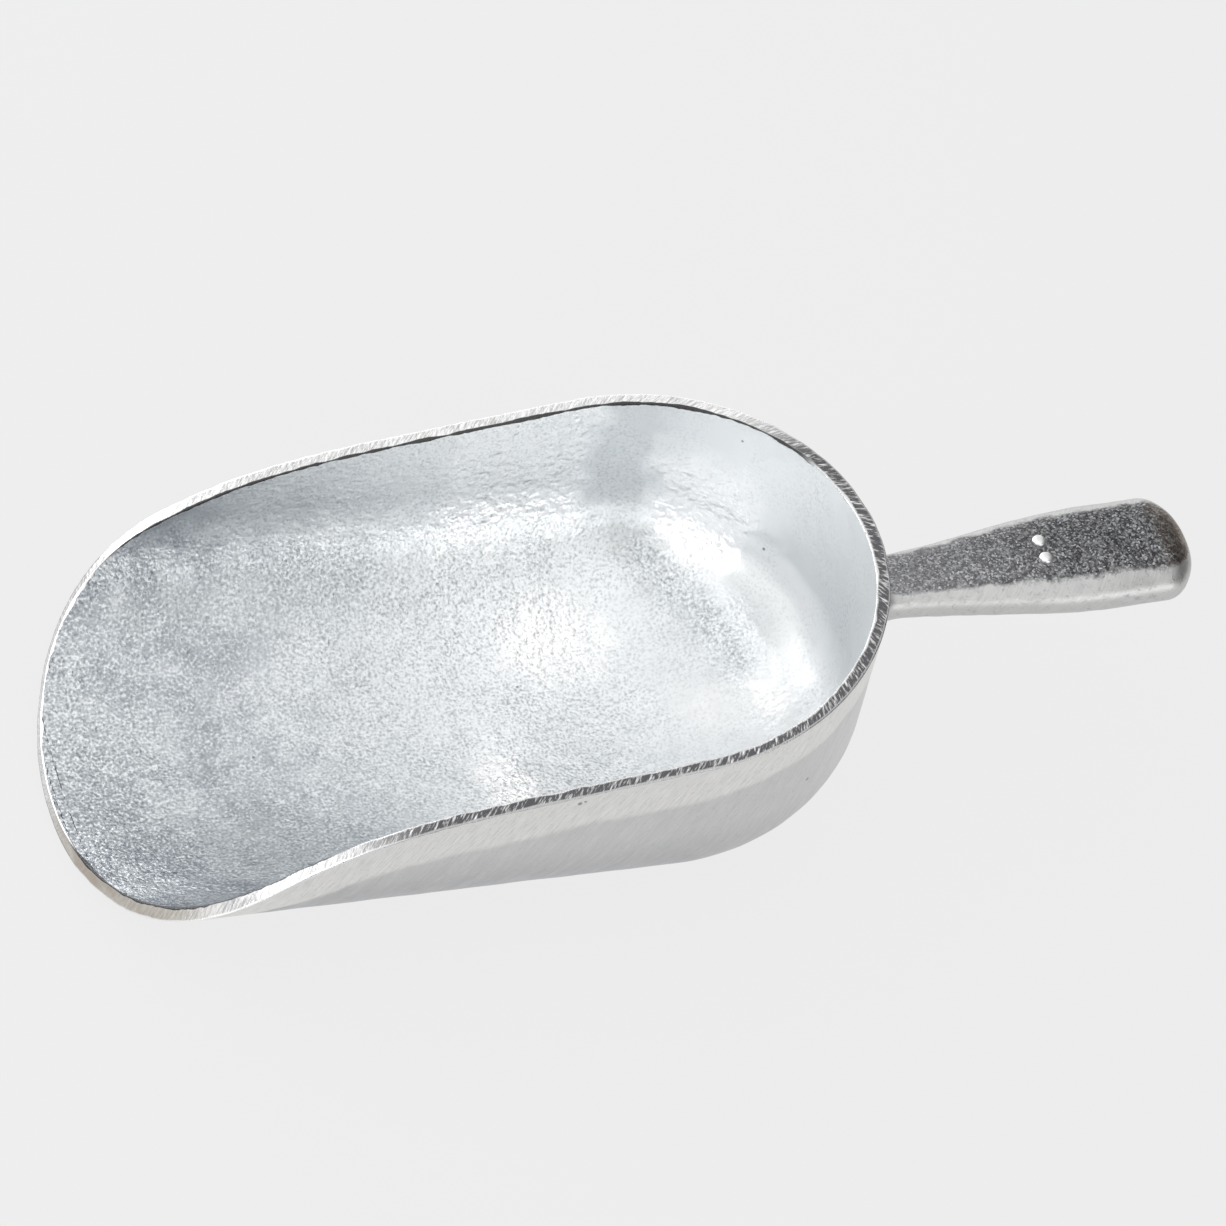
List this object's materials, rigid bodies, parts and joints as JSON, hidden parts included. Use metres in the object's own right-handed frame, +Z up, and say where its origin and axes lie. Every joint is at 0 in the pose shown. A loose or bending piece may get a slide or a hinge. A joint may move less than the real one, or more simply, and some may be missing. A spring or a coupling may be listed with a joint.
{
  "type": "ice scoop",
  "caption": "One-piece cast aluminium ice scoop with a round-backed open bowl, slanting ground rim and flared solid handle.",
  "frame": {"origin": "under the middle of the overall box, on the floor the keel lies on", "axes": "+X from the lip to the end of the handle, +Y across the bowl, +Z up out of the open bowl"},
  "size_m": [0.3281, 0.138, 0.084],
  "materials": {
    "cast_bowl": "sand-cast grain inside, linished outside",
    "cast_handle": "sand-cast grain on top, linished sides"
  },
  "bodies": {
    "root": {"bowl": "cast_bowl", "handle": "cast_handle", "size_pip_right": "cast_handle", "size_pip_left": "cast_handle"}
  },
  "joints": []
}
